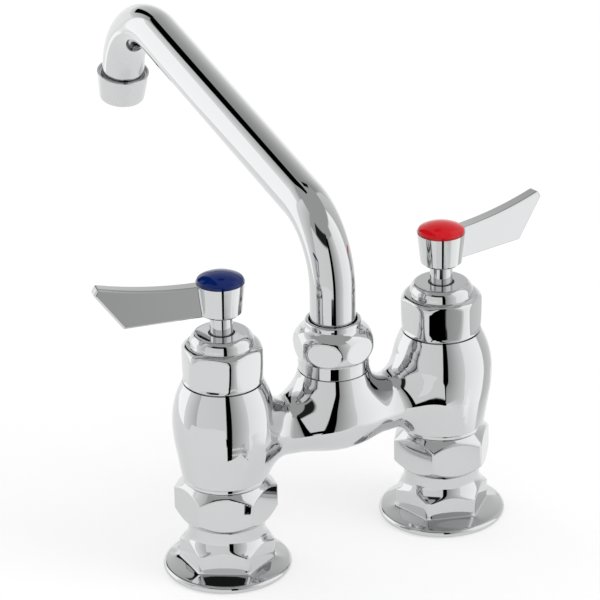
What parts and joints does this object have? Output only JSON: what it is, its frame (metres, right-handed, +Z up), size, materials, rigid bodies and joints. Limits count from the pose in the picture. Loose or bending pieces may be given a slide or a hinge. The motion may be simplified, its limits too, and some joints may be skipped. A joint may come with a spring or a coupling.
{
  "type": "deck-mount faucet",
  "caption": "Commercial deck-mount kitchen faucet with barrel-shaped valve bodies on a bridge, lever handles with coloured index caps and a swing spout with an aerator.",
  "frame": {"origin": "on the deck plane, midway between the two inlet axes", "axes": "+Z up, -Y towards the user and along the spout at rest, +X towards the cold side"},
  "size_m": [0.2058, 0.2428, 0.1814],
  "materials": {
    "polished_chrome": "polished",
    "cold_cap": "gloss",
    "hot_cap": "gloss",
    "brass": "turned",
    "steel": "brushed",
    "dark_steel": "blackened",
    "ceramic": "lapped",
    "rubber": "matte",
    "white_plastic": "matte"
  },
  "bodies": {
    "base": {"body_casting": "polished_chrome", "spout_swivel_nut": "polished_chrome", "spout_bearing_washer": "white_plastic", "spout_thrust_washer": "white_plastic", "cold_deck_flange": "polished_chrome", "cold_coupling_nut": "polished_chrome", "cold_coupling_washer": "rubber", "cold_coupling_retaining_ring": "steel", "cold_cartridge_body": "brass", "cold_fixed_disc": "ceramic", "cold_seat_seal": "rubber", "cold_cartridge_o_ring": "rubber", "cold_bonnet": "polished_chrome", "hot_deck_flange": "polished_chrome", "hot_coupling_nut": "polished_chrome", "hot_coupling_washer": "rubber", "hot_coupling_retaining_ring": "steel", "hot_cartridge_body": "brass", "hot_fixed_disc": "ceramic", "hot_seat_seal": "rubber", "hot_cartridge_o_ring": "rubber", "hot_bonnet": "polished_chrome"},
    "cold_handle": {"cold_handle": "polished_chrome", "cold_index_cap": "cold_cap", "cold_handle_screw": "steel", "cold_cartridge_stem": "polished_chrome", "cold_moving_disc": "ceramic", "cold_stem_o_rings": "rubber", "cold_stem_clip": "dark_steel"},
    "hot_handle": {"hot_handle": "polished_chrome", "hot_index_cap": "hot_cap", "hot_handle_screw": "steel", "hot_cartridge_stem": "polished_chrome", "hot_moving_disc": "ceramic", "hot_stem_o_rings": "rubber", "hot_stem_clip": "dark_steel"},
    "spout": {"spout_tube": "polished_chrome", "spout_sleeve": "brass", "spout_o_rings": "rubber", "aerator_housing": "polished_chrome", "aerator_insert": "white_plastic", "aerator_screen": "steel", "aerator_washer": "rubber"}
  },
  "joints": [
    {"name": "cold_handle_turn", "type": "hinge", "parent": "base", "child": "cold_handle", "pos_m": [0.0508, 0, 0.1158], "axis": [0, 0, 1], "range_deg": [-90, 0]},
    {"name": "hot_handle_turn", "type": "hinge", "parent": "base", "child": "hot_handle", "pos_m": [-0.0508, 0, 0.1158], "axis": [0, 0, 1], "range_deg": [0, 90]},
    {"name": "spout_swing", "type": "hinge", "parent": "base", "child": "spout", "pos_m": [0, 0, 0.08], "axis": [0, 0, 1], "continuous": true}
  ]
}
